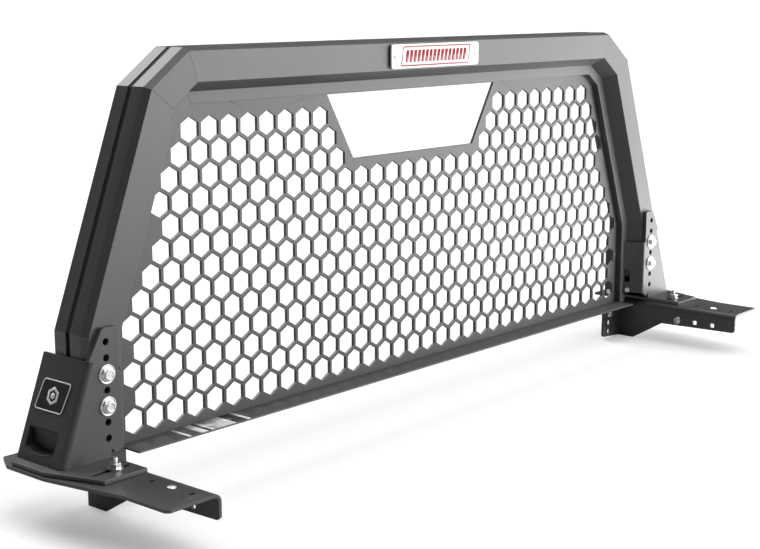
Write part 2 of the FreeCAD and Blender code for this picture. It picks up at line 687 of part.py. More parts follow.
BADGE_CORNER = 6.0
BADGE_START, BADGE_REACH = 700.0, 400.0  # a bar across the wall, kept only where it meets the wall's face
badge = doc.addObject("Part::Feature", "badge_sheet_solid")
badge_face = slab((-size.badge_sheet, -size.badge_sheet), (0, 0), size.badge_foot, size.badge_top)
badge_front = size.badge_middle - size.badge_half
badge_back = size.badge_middle + size.badge_half
badge_corners = [
    Vector(BADGE_START, badge_front + size.badge_shear, size.badge_foot),
    Vector(BADGE_START, badge_back + size.badge_shear, size.badge_foot),
    Vector(BADGE_START, badge_back - size.badge_shear, size.badge_top),
    Vector(BADGE_START, badge_front - size.badge_shear, size.badge_top)]
badge_outline = Part.makePolygon(badge_corners + badge_corners[:1])
badge_bar = Part.Face(badge_outline).extrude(Vector(BADGE_REACH, 0, 0))
long_edges = [edge for edge in badge_bar.Edges if abs(edge.Length - BADGE_REACH) < 0.001]
badge.Shape = badge_bar.makeFillet(BADGE_CORNER, long_edges).common(badge_face)
both_sides(badge, "badge")

# base of the foot: a plate under the walls, wider beside the side wall, with a slot across it
base_plate = pad(
    "base_plate", "XY",
    [[("base_inner", "base_front"),
      ("base_nose", "base_front"),
      ("base_flare", "hoop_front + 11"),
      ("base_flare", "base_back - 16"),
      ("base_flare - 12", "base_back"),
      ("base_inner", "base_back")]],
    "base_top - base_foot", {"z": "base_foot"})
slot_half = "(width_slot_length - width_slot_width) / 2"
width_slot = [
    box("width_slot_box",
        ("width_slot_middle - " + slot_half, "width_slot_y - width_slot_width / 2", "base_foot - 1"),
        ("width_slot_middle + " + slot_half, "width_slot_y + width_slot_width / 2", "base_top + 1")),
    cylinder("width_slot_in", "width_slot_width / 2", "base_top - base_foot + 2",
             ("width_slot_middle - " + slot_half, "width_slot_y", "base_foot - 1"), "Z"),
    cylinder("width_slot_out", "width_slot_width / 2", "base_top - base_foot + 2",
             ("width_slot_middle + " + slot_half, "width_slot_y", "base_foot - 1"), "Z")]
both_sides(cut("base_slotted", base_plate, width_slot), "foot_base")

# height bolts: hexagon head and washer in front, threaded bar behind the post's front wall
BOLT_STEPS = (2, 4)
bolts = []
washers = []
bar_bores = []
for step in BOLT_STEPS:
    up = "hole_first + %d * hole_pitch" % step
    name = "height_bolt_%d" % step
    head = hexagon(name + "_head", "hex_across", "nut_height - 1",
                   ("hole_column", "foot_front - washer_sheet - nut_height + 1", up), "Y")
    flange = cylinder(name + "_flange", "washer_radius - 4.5", "1.6",
                      ("hole_column", "foot_front - washer_sheet - 1.6", up), "Y")
    shank = cylinder(name + "_shank", "bolt_radius", "washer_sheet + foot_wall + 16",
                     ("hole_column", "foot_front - washer_sheet", up), "Y")
    bolts.append(fuse(name, [head, flange, shank]))
    disc = cylinder(name + "_disc", "washer_radius", "washer_sheet",
                    ("hole_column", "foot_front - washer_sheet", up), "Y")
    bore = cylinder(name + "_bore", "bolt_radius + 0.3", "washer_sheet + 2",
                    ("hole_column", "foot_front - washer_sheet - 1", up), "Y")
    washers.append(cut(name + "_washer", disc, [bore]))
    bar_bores.append(cylinder(name + "_thread", "bolt_radius + 0.05", "14",
                              ("hole_column", "hoop_front + 1", up), "Y"))
both_sides(group("height_bolt_pair", bolts), "height_bolts")
both_sides(group("height_washer_pair", washers), "height_washers")
bar = box(
    "nut_bar_block",
    ("hole_column - 9", "hoop_front + tube_wall + 0.4", "hole_first + 2 * hole_pitch - 16"),
    ("hole_column + 9", "hoop_front + tube_wall + 8.4", "hole_first + 4 * hole_pitch + 16"))
both_sides(cut("nut_bar_threaded", bar, bar_bores), "nut_bar")

# ---------------------------------------------------------------- bed rail brackets

# plan of the plate: straight by the truck bed, wider beside the foot
plate = pad(
    "rail_plate", "XY",
    [[("fold_half + fold_radius", "plate_front"),
      ("plate_nose - 6", "plate_front"),
      ("plate_nose", "plate_front + 6"),
      ("plate_nose", "plate_front + 92"),
      ("plate_flare", "hoop_front + 5"),
      ("plate_flare", "plate_back - 40"),
      ("plate_flare - 22", "plate_back"),
      ("fold_half + fold_radius", "plate_back")]],
    "plate_sheet")
fold_centre = (size.fold_half + size.fold_radius, size.plate_sheet - size.fold_radius)
fold_inner = size.fold_radius - size.plate_sheet
fold_mid = bend_middle(fold_centre[0], fold_centre[1], size.fold_radius, (-1, 1))
fold_mid_inner = bend_middle(fold_centre[0], fold_centre[1], fold_inner, (-1, 1))
flange_low = size.deep_foot - 5
fold_edges = [
    Part.Arc(Vector(size.fold_half, 0, fold_centre[1]), Vector(fold_mid[0], 0, fold_mid[1]),
             Vector(fold_centre[0], 0, size.plate_sheet)).toShape(),
    Part.LineSegment(Vector(fold_centre[0], 0, size.plate_sheet), Vector(fold_centre[0], 0, 0)).toShape(),
    Part.Arc(Vector(fold_centre[0], 0, 0), Vector(fold_mid_inner[0], 0, fold_mid_inner[1]),
             Vector(size.fold_half + size.plate_sheet, 0, fold_centre[1])).toShape(),
    Part.LineSegment(Vector(size.fold_half + size.plate_sheet, 0, fold_centre[1]),
                     Vector(size.fold_half + size.plate_sheet, 0, flange_low)).toShape(),
    Part.LineSegment(Vector(size.fold_half + size.plate_sheet, 0, flange_low),
                     Vector(size.fold_half, 0, flange_low)).toShape(),
    Part.LineSegment(Vector(size.fold_half, 0, flange_low), Vector(size.fold_half, 0, fold_centre[1])).toShape()]
fold_face = Part.Face(Part.Wire(Part.__sortEdges__(fold_edges)))
fold_face.translate(Vector(0, size.plate_front, 0))
fold = doc.addObject("Part::Feature", "fold_and_flange")
fold.Shape = fold_face.extrude(Vector(0, size.flange_back - size.plate_front, 0))
flange_keep = pad(
    "flange_keep", "YZ",
    [[("plate_front", "plate_sheet + 1"),
      ("plate_front", "flange_foot + 5"),
      ("plate_front + 5", "flange_foot"),
      ("hoop_front - 55", "flange_foot - 4"),
      ("hoop_front + 20", "deep_foot"),
      ("flange_back", "deep_foot"),
      ("flange_back", "plate_sheet + 1")]],
    "60", {"x": "fold_half - 20"})
flange = doc.addObject("Part::Common", "flange_shaped")
flange.Base = fold
flange.Tool = flange_keep
end_tab = pad(
    "end_tab", "XZ",
    [[("tab_half", "tab_foot + 4"),
      ("tab_half + 4", "tab_foot"),
      ("fold_half + plate_sheet", "deep_foot"),
      ("fold_half + plate_sheet", "tab_head"),
      ("tab_half + 4", "tab_head"),
      ("tab_half", "tab_head - 4")]],
    "plate_sheet", {"y": "flange_back - plate_sheet"})
bracket_blank = fuse("bracket_blank", [plate, flange, end_tab])
bracket_blank.Refine = True
rail_y = ["-rail_hole_spacing / 2", "0", "rail_hole_spacing / 2"]
bracket_cuts = []
for number, along in enumerate(rail_y):
    bracket_cuts.append(cylinder("rail_hole_%d" % number, "rail_hole_radius", "plate_sheet + 4",
                                 ("rail_hole_half", along, "-2"), "Z"))
FLANGE_HOLES = ("hoop_front - 97", "hoop_front - 141.5", "hoop_front - 186")
for number, along in enumerate(FLANGE_HOLES):
    bracket_cuts.append(box(
        "flange_hole_%d" % number,
        ("fold_half - 2", along + " - flange_hole / 2", "flange_hole_height - flange_hole / 2"),
        ("fold_half + plate_sheet + 2", along + " + flange_hole / 2", "flange_hole_height + flange_hole / 2")))
TAB_COLUMN = "tab_half + tab_hole_inset"
for number, radius_name in enumerate(("rail_hole_radius", "tab_hole_radius", "tab_hole_radius")):
    bracket_cuts.append(cylinder(
        "tab_hole_%d" % number, radius_name, "plate_sheet + 4",
        (TAB_COLUMN, "flange_back - plate_sheet - 2", "flange_hole_height - %d * tab_hole_step" % number), "Y"))
both_sides(cut("bracket_drilled", bracket_blank, bracket_cuts), "bed_rail_bracket")

# width stud: welded to the plate, up through the slot in the foot's base, washer and nut on top
stud = cylinder("width_stud_bar", "bolt_radius", "base_top - plate_sheet + washer_sheet + nut_height + 8",
                ("stud_half", "width_slot_y", "plate_sheet"), "Z")
both_sides(stud, "width_stud")
width_disc = cylinder("width_disc", "washer_radius - 3.5", "washer_sheet",
                      ("stud_half", "width_slot_y", "base_top"), "Z")
width_bore = cylinder("width_bore", "bolt_radius + 0.3", "washer_sheet + 2",
                      ("stud_half", "width_slot_y", "base_top - 1"), "Z")
both_sides(cut("width_ring", width_disc, [width_bore]), "width_washer")
nut = hexagon("width_nut_block", "hex_across", "nut_height",
              ("stud_half", "width_slot_y", "base_top + washer_sheet"), "Z")
nut_bore = cylinder("width_nut_bore", "bolt_radius + 0.05", "nut_height + 2",
                    ("stud_half", "width_slot_y", "base_top + washer_sheet - 1"), "Z")
both_sides(cut("width_nut_threaded", nut, [nut_bore]), "width_nut")

# carriage bolt in the middle hole of the plate, with its nut below the plate
RAIL_BOLT_RADIUS = "(rail_hole_radius - 0.75)"
rail_head = doc.addObject("Part::Sphere", "rail_bolt_dome")
rail_head.setExpression("Radius", "Sizes.dome_radius")
rail_head.setExpression("Placement.Base.x", "Sizes.rail_hole_half")
rail_head.setExpression("Placement.Base.z", "Sizes.plate_sheet + Sizes.dome_height - Sizes.dome_radius")
dome_keep = box("rail_bolt_dome_keep", ("rail_hole_half - 20", "-20", "plate_sheet"),
                ("rail_hole_half + 20", "20", "plate_sheet + 12"))
dome = doc.addObject("Part::Common", "rail_bolt_head")
dome.Base = rail_head
dome.Tool = dome_keep
rail_shank = cylinder("rail_bolt_shank", RAIL_BOLT_RADIUS, "plate_sheet + 22",
                      ("rail_hole_half", "0", "-22"), "Z")
both_sides(fuse("rail_bolt_whole", [dome, rail_shank]), "rail_bolt")
rail_nut = hexagon("rail_nut_block", "hex_across - 3", "nut_height - 1",
                   ("rail_hole_half", "0", "-17"), "Z")
rail_nut_bore = cylinder("rail_nut_bore", RAIL_BOLT_RADIUS + " + 0.05", "nut_height + 2",
                         ("rail_hole_half", "0", "-18"), "Z")
both_sides(cut("rail_nut_threaded", rail_nut, [rail_nut_bore]), "rail_nut")

# bolts in the flange and in the end tab, each with its nut
clamp_bolts = []
clamp_nuts = []
for number, (axis, start) in enumerate((
        ("X", ("fold_half", FLANGE_HOLES[0], "flange_hole_height")),
        ("Y", (TAB_COLUMN, "flange_back - plate_sheet", "flange_hole_height")))):
    name = "clamp_bolt_%d" % number
    place = 0 if axis == "X" else 1

    def moved(text):
        shifted = list(start)
        shifted[place] = shifted[place] + text
        return tuple(shifted)

    clamp_head = cylinder(name + "_head", "9", "5", moved(" - 5"), axis)
    clamp_shank = cylinder(name + "_shank", RAIL_BOLT_RADIUS, "plate_sheet + 14", moved(""), axis)
    clamp_bolts.append(fuse(name, [clamp_head, clamp_shank]))
    nut_block = hexagon(name + "_nut_block", "hex_across - 3", "6.5", moved(" + plate_sheet"), axis)
    nut_hole = cylinder(name + "_nut_hole", RAIL_BOLT_RADIUS + " + 0.05", "9",
                        moved(" + plate_sheet - 1"), axis)
    clamp_nuts.append(cut(name + "_nut", nut_block, [nut_hole]))
both_sides(group("clamp_bolt_pair", clamp_bolts), "clamp_bolts")
both_sides(group("clamp_nut_pair", clamp_nuts), "clamp_nuts")

# ---------------------------------------------------------------- checks and files

doc.recompute()
for item in doc.Objects:
    states = item.State
    if "Invalid" in states or "Error" in states:
        raise RuntimeError("failed object: %s %s" % (item.Label, states))
for piece in nodes:
    if piece.Shape.isNull() or not piece.Shape.isValid():
        raise RuntimeError("bad shape: " + piece.Label)
os.makedirs("parts", exist_ok=True)
for piece in nodes:
    piece.Shape.exportStep("parts/%s.step" % piece.Label)
    spread = piece.Shape.BoundBox
    print("%-24s %3d solids %10.0f mm3  x %.1f..%.1f y %.1f..%.1f z %.1f..%.1f" % (
        piece.Label, len(piece.Shape.Solids), piece.Shape.Volume, spread.XMin, spread.XMax,
        spread.YMin, spread.YMax, spread.ZMin, spread.ZMax))
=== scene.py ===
"""Looks of the truck headache rack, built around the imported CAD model."""

import json
import math

import bmesh
import bpy
from mathutils import Matrix, Vector


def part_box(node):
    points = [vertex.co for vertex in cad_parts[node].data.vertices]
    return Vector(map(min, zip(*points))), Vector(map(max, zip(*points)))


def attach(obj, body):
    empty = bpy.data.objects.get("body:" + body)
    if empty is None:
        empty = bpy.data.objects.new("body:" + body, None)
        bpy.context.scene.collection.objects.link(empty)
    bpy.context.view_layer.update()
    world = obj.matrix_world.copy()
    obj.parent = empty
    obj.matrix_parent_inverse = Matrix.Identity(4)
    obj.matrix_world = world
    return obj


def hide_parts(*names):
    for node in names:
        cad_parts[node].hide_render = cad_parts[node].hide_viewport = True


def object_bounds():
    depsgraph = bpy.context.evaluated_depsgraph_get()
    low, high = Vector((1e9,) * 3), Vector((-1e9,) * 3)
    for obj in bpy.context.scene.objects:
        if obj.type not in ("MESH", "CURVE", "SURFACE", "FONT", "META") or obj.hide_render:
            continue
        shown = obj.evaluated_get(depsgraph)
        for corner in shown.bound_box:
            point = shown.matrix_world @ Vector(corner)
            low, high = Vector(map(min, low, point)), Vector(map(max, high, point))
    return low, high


MM = 0.001
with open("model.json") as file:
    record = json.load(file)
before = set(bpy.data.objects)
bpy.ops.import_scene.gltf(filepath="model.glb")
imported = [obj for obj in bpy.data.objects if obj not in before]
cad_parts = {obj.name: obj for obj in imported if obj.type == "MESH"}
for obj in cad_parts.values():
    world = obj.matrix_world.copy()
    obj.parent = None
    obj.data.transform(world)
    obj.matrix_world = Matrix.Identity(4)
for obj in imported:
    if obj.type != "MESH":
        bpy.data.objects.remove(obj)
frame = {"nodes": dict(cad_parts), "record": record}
nodes = frame["nodes"]
record = frame["record"]
slot_of = {entry["node"]: entry["material_slot"] for entry in record["subparts"]}
body_of = {node: body for body, members in record["behaviour"]["bodies"].items() for node in members}
cad_low, cad_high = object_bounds()


# ---------------------------------------------------------------- material helpers

NOISE_ROUGHNESS = 0.55


def new_material(name, color, roughness, metallic=0.0, specular=0.5):
    material = bpy.data.materials.new(name)
    material.use_nodes = True
    shader = material.node_tree.nodes["Principled BSDF"]
    shader.inputs["Base Color"].default_value = (*color, 1.0)
    shader.inputs["Roughness"].default_value = roughness
    shader.inputs["Metallic"].default_value = metallic
    shader.inputs["Specular IOR Level"].default_value = specular
    return material, shader


def add_node(material, kind):
    return material.node_tree.nodes.new(kind)


def link(material, source, target):
    material.node_tree.links.new(source, target)


def object_coordinates(material):
    return add_node(material, "ShaderNodeTexCoord").outputs["Object"]


def noise(material, place, scale, detail=3.0):
    texture = add_node(material, "ShaderNodeTexNoise")
    texture.inputs["Scale"].default_value = scale
    texture.inputs["Detail"].default_value = detail
    texture.inputs["Roughness"].default_value = NOISE_ROUGHNESS
    link(material, place, texture.inputs["Vector"])
    return texture.outputs["Fac"]


def ramp(material, factor, low_stop, high_stop):
    """A colour ramp between two stops, each a (position, colour)."""
    node = add_node(material, "ShaderNodeValToRGB")
    for element, (position, color) in zip(node.color_ramp.elements, (low_stop, high_stop)):
        element.position = position
        element.color = (*color, 1.0)
    link(material, factor, node.inputs["Fac"])
    return node.outputs["Color"]


def span(material, factor, low, high):
    """Maps a 0 to 1 factor to the range low to high."""
    node = add_node(material, "ShaderNodeMapRange")
    node.inputs["To Min"].default_value = low
    node.inputs["To Max"].default_value = high
    link(material, factor, node.inputs["Value"])
    return node.outputs["Result"]


def mix_color(material, factor, first, second):
    """Mixes two colours, each a tuple or the output of another node."""
    node = add_node(material, "ShaderNodeMix")
    node.data_type = "RGBA"
    first_color, second_color, mixed = node.inputs[6], node.inputs[7], node.outputs[2]
    link(material, factor, node.inputs["Factor"])
    for socket, value in ((first_color, first), (second_color, second)):
        if isinstance(value, tuple):
            socket.default_value = (*value, 1.0)
        else:
            link(material, value, socket)
    return mixed


def bump(material, shader, height, strength, distance):
    node = add_node(material, "ShaderNodeBump")
    node.inputs["Strength"].default_value = strength
    node.inputs["Distance"].default_value = distance
    link(material, height, node.inputs["Height"])
    link(material, node.outputs["Normal"], shader.inputs["Normal"])


def edge_highlight_mask(material, starts, full):
    """0 on flat faces and in hollows, 1 along outer edges: the mask for a painted edge highlight."""
    geometry = add_node(material, "ShaderNodeNewGeometry")
    node = add_node(material, "ShaderNodeMapRange")
    node.inputs["From Min"].default_value = starts
    node.inputs["From Max"].default_value = full
    link(material, geometry.outputs["Pointiness"], node.inputs["Value"])
    return node.outputs["Result"]


def shade(color, factor):
    return tuple(factor * part for part in color)


# ---------------------------------------------------------------- materials

def powder_coat(name, dark, light, roughness):
    """Fine textured charcoal powder coat: orange peel, tiny flecks and a painted highlight that lightens
    its outer edges.
    """
    fleck_factor = 2.2
    # how much lighter the painted edge highlight is than the coat
    highlight_factor = 1.7
    roughness_swing = 0.07
    material, shader = new_material(name, light, roughness)
    place = object_coordinates(material)
    clouds = noise(material, place, scale=4.0, detail=4.0)
    grain = noise(material, place, scale=900.0, detail=2.0)
    flecks = noise(material, place, scale=2600.0, detail=0.0)
    base = ramp(material, clouds, (0.3, dark), (0.7, light))
    fleck_mask = ramp(material, flecks, (0.62, (0, 0, 0)), (0.78, (0.6, 0.6, 0.6)))
    speckled = mix_color(material, fleck_mask, base, shade(light, fleck_factor))
    # painted highlight: outer edges are drawn in a lighter colour, as if they caught the light
    highlight_mask = edge_highlight_mask(material, starts=0.52, full=0.60)
    highlighted = mix_color(material, highlight_mask, speckled, shade(light, highlight_factor))
    uneven = span(material, grain, roughness - roughness_swing, roughness + roughness_swing)
    link(material, highlighted, shader.inputs["Base Color"])
    link(material, uneven, shader.inputs["Roughness"])
    bump(material, shader, grain, strength=0.22, distance=0.4 * MM)
    return material


def zinc(name):
    """Bright zinc plating, slightly clouded and unevenly glossy."""
    material, shader = new_material(name, (0.74, 0.75, 0.76), roughness=0.28, metallic=1.0)
    place = object_coordinates(material)
    clouds = noise(material, place, scale=120.0, detail=4.0)
    base = ramp(material, clouds, (0.3, (0.60, 0.61, 0.63)), (0.7, (0.83, 0.83, 0.82)))
    uneven = span(material, noise(material, place, scale=420.0), low=0.2, high=0.42)
    link(material, base, shader.inputs["Base Color"])
    link(material, uneven, shader.inputs["Roughness"])
    bump(material, shader, clouds, strength=0.08, distance=0.3 * MM)
    return material


def rubber(name):
    material, shader = new_material(name, (0.012, 0.012, 0.013), roughness=0.72, specular=0.3)
    grain = noise(material, object_coordinates(material), scale=700.0)
    base = ramp(material, grain, (0.3, (0.008, 0.008, 0.009)), (0.75, (0.02, 0.02, 0.021)))
    link(material, base, shader.inputs["Base Color"])
    link(material, span(material, grain, low=0.62, high=0.85), shader.inputs["Roughness"])
    bump(material, shader, grain, strength=0.25, distance=0.3 * MM)
    return material


def moulded_plastic(name):
    """Black plastic with a fine leather-like grain."""
    material, shader = new_material(name, (0.018, 0.018, 0.02), roughness=0.5)
    grain = noise(material, object_coordinates(material), scale=1100.0, detail=2.0)
    base = ramp(material, grain, (0.3, (0.013, 0.013, 0.014)), (0.7, (0.022, 0.022, 0.024)))
    link(material, base, shader.inputs["Base Color"])
    bump(material, shader, grain, strength=0.18, distance=0.3 * MM)
    return material


def enamel(name, color, roughness=0.3):
    """Screen-printed or enamelled paint with a slight orange peel."""
    material, shader = new_material(name, color, roughness)
    place = object_coordinates(material)
    peel = noise(material, place, scale=260.0)
    clouds = noise(material, place, scale=30.0)
    base = ramp(material, clouds, (0.35, shade(color, factor=0.93)), (0.65, color))
    link(material, base, shader.inputs["Base Color"])
    shader.inputs["Coat Weight"].default_value = 0.3
    shader.inputs["Coat Roughness"].default_value = 0.12
    bump(material, shader, peel, strength=0.05, distance=0.3 * MM)
    return material


COAT = powder_coat(
    "charcoal_coat", dark=(0.049, 0.0495, 0.051), light=(0.062, 0.0625, 0.064), roughness=0.42)
ZINC = zinc("zinc_steel")
RUBBER = rubber("black_rubber")
PLASTIC = moulded_plastic("black_plastic")
WHITE = enamel("white_enamel", (0.86, 0.85, 0.83))
RED = enamel("red_enamel", (0.36, 0.006, 0.014))
PRINT = enamel("light_print", (0.80, 0.80, 0.80), roughness=0.45)
GREY_PRINT = enamel("grey_print", (0.58, 0.58, 0.59), roughness=0.45)
BLACK_PRINT = enamel("black_print", (0.012, 0.012, 0.013), roughness=0.5)
SLOT_MATERIALS = {
    "charcoal_coat": COAT, "zinc_steel": ZINC, "black_rubber": RUBBER, "black_plastic": PLASTIC,
    "name_plate_paint": WHITE}


# ---------------------------------------------------------------- mesh helpers

BEVEL_ANGLE = 28.0  # degrees between two faces above which their edge is rounded
BEVEL_SEGMENTS = 2
WELD_DISTANCE = 0.01 * MM
FULL_AREA_WEIGHT = 100
AROUND = 72  # points in each ring of a turned piece


def soften(piece, width, angle=BEVEL_ANGLE):
    """Rounds a piece's hard edges by a small bevel, with normals that keep its faces flat."""
    weld = piece.modifiers.new("weld", "WELD")
    weld.merge_threshold = WELD_DISTANCE
    bevel = piece.modifiers.new("bevel", "BEVEL")
    bevel.width = width
    bevel.segments = BEVEL_SEGMENTS
    bevel.limit_method = "ANGLE"
    bevel.angle_limit = math.radians(angle)
    bevel.miter_outer = "MITER_ARC"
    bevel.use_clamp_overlap = True
    normals = piece.modifiers.new("weighted_normals", "WEIGHTED_NORMAL")
    normals.keep_sharp = False
    normals.weight = FULL_AREA_WEIGHT


def new_piece(name, work, material, body, slot, *replaced):
    """Turns a bmesh into a piece that rides a body and, if given, stands for CAD nodes."""
    mesh = bpy.data.meshes.new(name)
    bmesh.ops.recalc_face_normals(work, faces=work.faces)
    work.to_mesh(mesh)
    work.free()
    for polygon in mesh.polygons:
        polygon.use_smooth = True
    piece = bpy.data.objects.new(name, mesh)
    bpy.context.scene.collection.objects.link(piece)
    mesh.materials.append(material)
    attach(piece, body)
    if replaced:
        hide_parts(*replaced)
    return piece


def new_fastener(name, work, node, rounding):
    """Turns a bmesh into a zinc plated piece that stands for one CAD node on that node's body."""
    soften(new_piece(name, work, ZINC, body_of[node], "zinc_steel", node), rounding)


def middle(node):
    low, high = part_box(node)
    return [(first + last) / 2 for first, last in zip(low, high)]


def frame_at(place, third, first=None):
    """A placing matrix whose third axis points one way, at a place."""
    third = Vector(third).normalized()
    first = Vector(first or (third.y, third.z, third.x))
    second = third.cross(first).normalized()
    first = second.cross(third)
    matrix = Matrix((first, second, third)).transposed().to_4x4()
    matrix.translation = Vector(place)
    return matrix


def rounded_rectangle(half_width, half_height, radius, slant=0.0, steps=5):
    """Corner points of a rectangle with round corners, as (across, up) pairs. A slant shears it."""
    points = []
    for quarter, (side, level) in enumerate(((1, 1), (-1, 1), (-1, -1), (1, -1))):
        for step in range(steps + 1):
            angle = math.radians(90 * quarter + 90 * step / steps)
            across = side * (half_width - radius) + radius * math.cos(angle)
            up = level * (half_height - radius) + radius * math.sin(angle)
            points.append((across + slant * up, up))
    return points


def hexagon_outline(reach):
    """Corner points of a hexagon with corners at its top and foot."""
    angles = [math.pi / 6 + 2 * math.pi * step / 6 for step in range(6)]
    return [(reach * math.cos(angle), reach * math.sin(angle)) for angle in angles]


def add_plate(work, outline, thickness, place, hole=None):
    """Adds a flat plate whose back lies on a matrix's plane. It rises along the third axis."""
    rims = [outline] + ([hole] if hole else [])
    levels = []
    for height in (0.0, thickness):
        levels.append([[work.verts.new(place @ Vector((across, up, height))) for across, up in rim]
                       for rim in rims])
    for low, high in zip(*levels):
        for index in range(len(low)):
            after = (index + 1) % len(low)
            work.faces.new((low[index], low[after], high[after], high[index]))
    for rings in levels:
        if not hole:
            work.faces.new(rings[0])
            continue
        outer, inner = rings
        for index in range(len(outer)):
            after = (index + 1) % len(outer)
            work.faces.new((outer[index], outer[after], inner[after], inner[index]))


def hex_reach(angle, across):
    """Distance from a hexagon's middle to its edge in one direction."""
    turn = (angle + math.pi / 6) % (math.pi / 3) - math.pi / 6
    return across / 2 / math.cos(turn)


def add_stack(work, levels, place, closed=False):
    """Skins a stack of rings. A level is (height, radius) or (height, limit, hexagon width),
    where the ring is the hexagon cut back to the limit. A closed stack joins up as a tube."""
    rings = []
    for height, limit, *hexagon in levels:
        ring = []
        for step in range(AROUND):
            angle = 2 * math.pi * step / AROUND
            reach = min(limit, hex_reach(angle, hexagon[0])) if hexagon else limit
            point = Vector((reach * math.cos(angle), reach * math.sin(angle), height))
            ring.append(work.verts.new(place @ point))
        rings.append(ring)
    pairs = list(zip(rings[:-1], rings[1:]))
    if closed:
        pairs.append((rings[-1], rings[0]))
    for low, high in pairs:
        for step in range(AROUND):
            after = (step + 1) % AROUND
            work.faces.new((low[step], low[after], high[after], high[step]))
    if not closed:
        work.faces.new(rings[0])
        work.faces.new(rings[-1])


# ---------------------------------------------------------------- threads and hexagons

COARSE_PITCH = 1.5 * MM
FINE_PITCH = 1.25 * MM
GROOVE_DEPTH = 0.6  # of the pitch
GROOVE_FOOT_ENDS = 0.08  # these four are heights within one turn of the thread
CREST_STARTS = 0.42
CREST_ENDS = 0.58
GROOVE_FOOT_STARTS = 0.92
CHAMFER_ANGLE = 30
CHAMFER_RADIUS = 0.475  # of the hexagon's width
CHAMFER_STEPS = 4


def thread(radius, low, high, pitch=COARSE_PITCH):
    """Levels of a threaded length, as grooves about one pitch apart, between two heights."""
    foot_radius = radius - GROOVE_DEPTH * pitch
    turns = max(1, round((high - low) / pitch))
    step = (high - low) / turns
    levels = []
    for turn in range(turns):
        base = low + turn * step
        levels += [(base + GROOVE_FOOT_ENDS * step, foot_radius), (base + CREST_STARTS * step, radius),
                   (base + CREST_ENDS * step, radius), (base + GROOVE_FOOT_STARTS * step, foot_radius)]
    return levels


def hexagon_sides(low, high, across):
    """Levels of a hexagon whose upper corners are rounded off as on a real bolt or nut."""
    top_reach = CHAMFER_RADIUS * across
    corner_reach = across / math.sqrt(3)
    cut = (corner_reach - top_reach) * math.tan(math.radians(CHAMFER_ANGLE))
    levels = [(low, across, across)]
    for step in range(CHAMFER_STEPS + 1):
        fall = 1 - step / CHAMFER_STEPS
        levels.append((high - cut * fall, top_reach + (corner_reach - top_reach) * fall, across))
    return levels


# ---------------------------------------------------------------- name plate, badges and lip

PLATE_CORNER = 6 * MM
PLATE_ROUNDING = 0.5 * MM
PLATE_PRINT_HEIGHT = 0.15 * MM
PRINT_SLANT = 0.16
PRINT_FRAME_HALF = (101 * MM, 18.5 * MM)
PRINT_FRAME_LINE = 2.8 * MM
PRINT_FRAME_CORNERS = (4 * MM, 2 * MM)  # outside, inside
BAR_COUNT = 16
BAR_STEP = 11.4 * MM
BAR_HALF = (4.1 * MM, 11.0 * MM)
BAR_CORNER = 0.8 * MM
BAR_CORNER_STEPS = 2


def make_name_plate():
    """A white plate printed with a slanted red frame round a row of slanted red bars."""
    low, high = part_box("name_plate")
    across, _, up = middle("name_plate")
    half_width, half_height = (high[0] - low[0]) / 2, (high[2] - low[2]) / 2
    thickness = high[1] - low[1]
    back = frame_at((across, high[1], up), (0, -1, 0), (1, 0, 0))
    work = bmesh.new()
    add_plate(work, rounded_rectangle(half_width, half_height, PLATE_CORNER), thickness, back)
    face = new_piece("name_plate_face", work, WHITE, "hoop", "name_plate_paint", "name_plate")
    soften(face, PLATE_ROUNDING)

    front = back @ Matrix.Translation((0, 0, thickness))
    outer_half = PRINT_FRAME_HALF
    inner_half = [half - PRINT_FRAME_LINE for half in PRINT_FRAME_HALF]
    outer_corner, inner_corner = PRINT_FRAME_CORNERS
    work = bmesh.new()
    add_plate(work, rounded_rectangle(*outer_half, outer_corner, PRINT_SLANT), PLATE_PRINT_HEIGHT, front,
              rounded_rectangle(*inner_half, inner_corner, PRINT_SLANT))
    bar = rounded_rectangle(*BAR_HALF, BAR_CORNER, PRINT_SLANT, BAR_CORNER_STEPS)
    for index in range(BAR_COUNT):
        shift = Matrix.Translation(((index - (BAR_COUNT - 1) / 2) * BAR_STEP, 0, 0))
        add_plate(work, bar, PLATE_PRINT_HEIGHT, front @ shift)
    new_piece("name_plate_print", work, RED, "hoop", "name_plate_paint")


BADGE_SHEET = 1.2 * MM
BADGE_SHEAR = 4.0 * MM  # how far the badge's top and foot are shifted apart from its middle
BADGE_MARGIN = 0.6 * MM
BADGE_LINE = 2.1 * MM
BADGE_CORNERS = (5.6 * MM, 3.6 * MM)  # outside, inside
BADGE_PRINT_HEIGHT = 0.2 * MM
BADGE_HEXAGONS = (14.5 * MM, 9.5 * MM, 5.5 * MM)  # outer ring, its hole, the solid middle


def make_badge_print(side):
    """A light rounded outline round a hexagon, printed on the leaning badge."""
    low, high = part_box(side + "_badge")
    sign = 1 if side == "right" else -1
    inner, outer = (low[0], high[0]) if sign > 0 else (high[0], low[0])
    top = inner + sign * BADGE_SHEET
    run, rise = top - outer, high[2] - low[2]
    outward = (sign * rise, 0, -sign * run)
    face_middle = ((top + outer) / 2, (low[1] + high[1]) / 2, (low[2] + high[2]) / 2)
    place = frame_at(face_middle, outward, (0, sign, 0))
    half_width = (high[1] - low[1]) / 2 - BADGE_SHEAR
    half_height = math.hypot(run, rise) / 2
    shear = -sign * BADGE_SHEAR / half_height
    outer_corner, inner_corner = BADGE_CORNERS
    outer_half = [half - BADGE_MARGIN for half in (half_width, half_height)]
    inner_half = [half - BADGE_LINE for half in outer_half]
    ring, ring_hole, solid = [hexagon_outline(reach) for reach in BADGE_HEXAGONS]
    work = bmesh.new()
    add_plate(work, rounded_rectangle(*outer_half, outer_corner, shear), BADGE_PRINT_HEIGHT, place,
              rounded_rectangle(*inner_half, inner_corner, shear))
    add_plate(work, ring, BADGE_PRINT_HEIGHT, place, ring_hole)
    add_plate(work, solid, BADGE_PRINT_HEIGHT, place)
    new_piece(side + "_badge_print", work, PRINT, side + "_foot", "name_plate_paint")


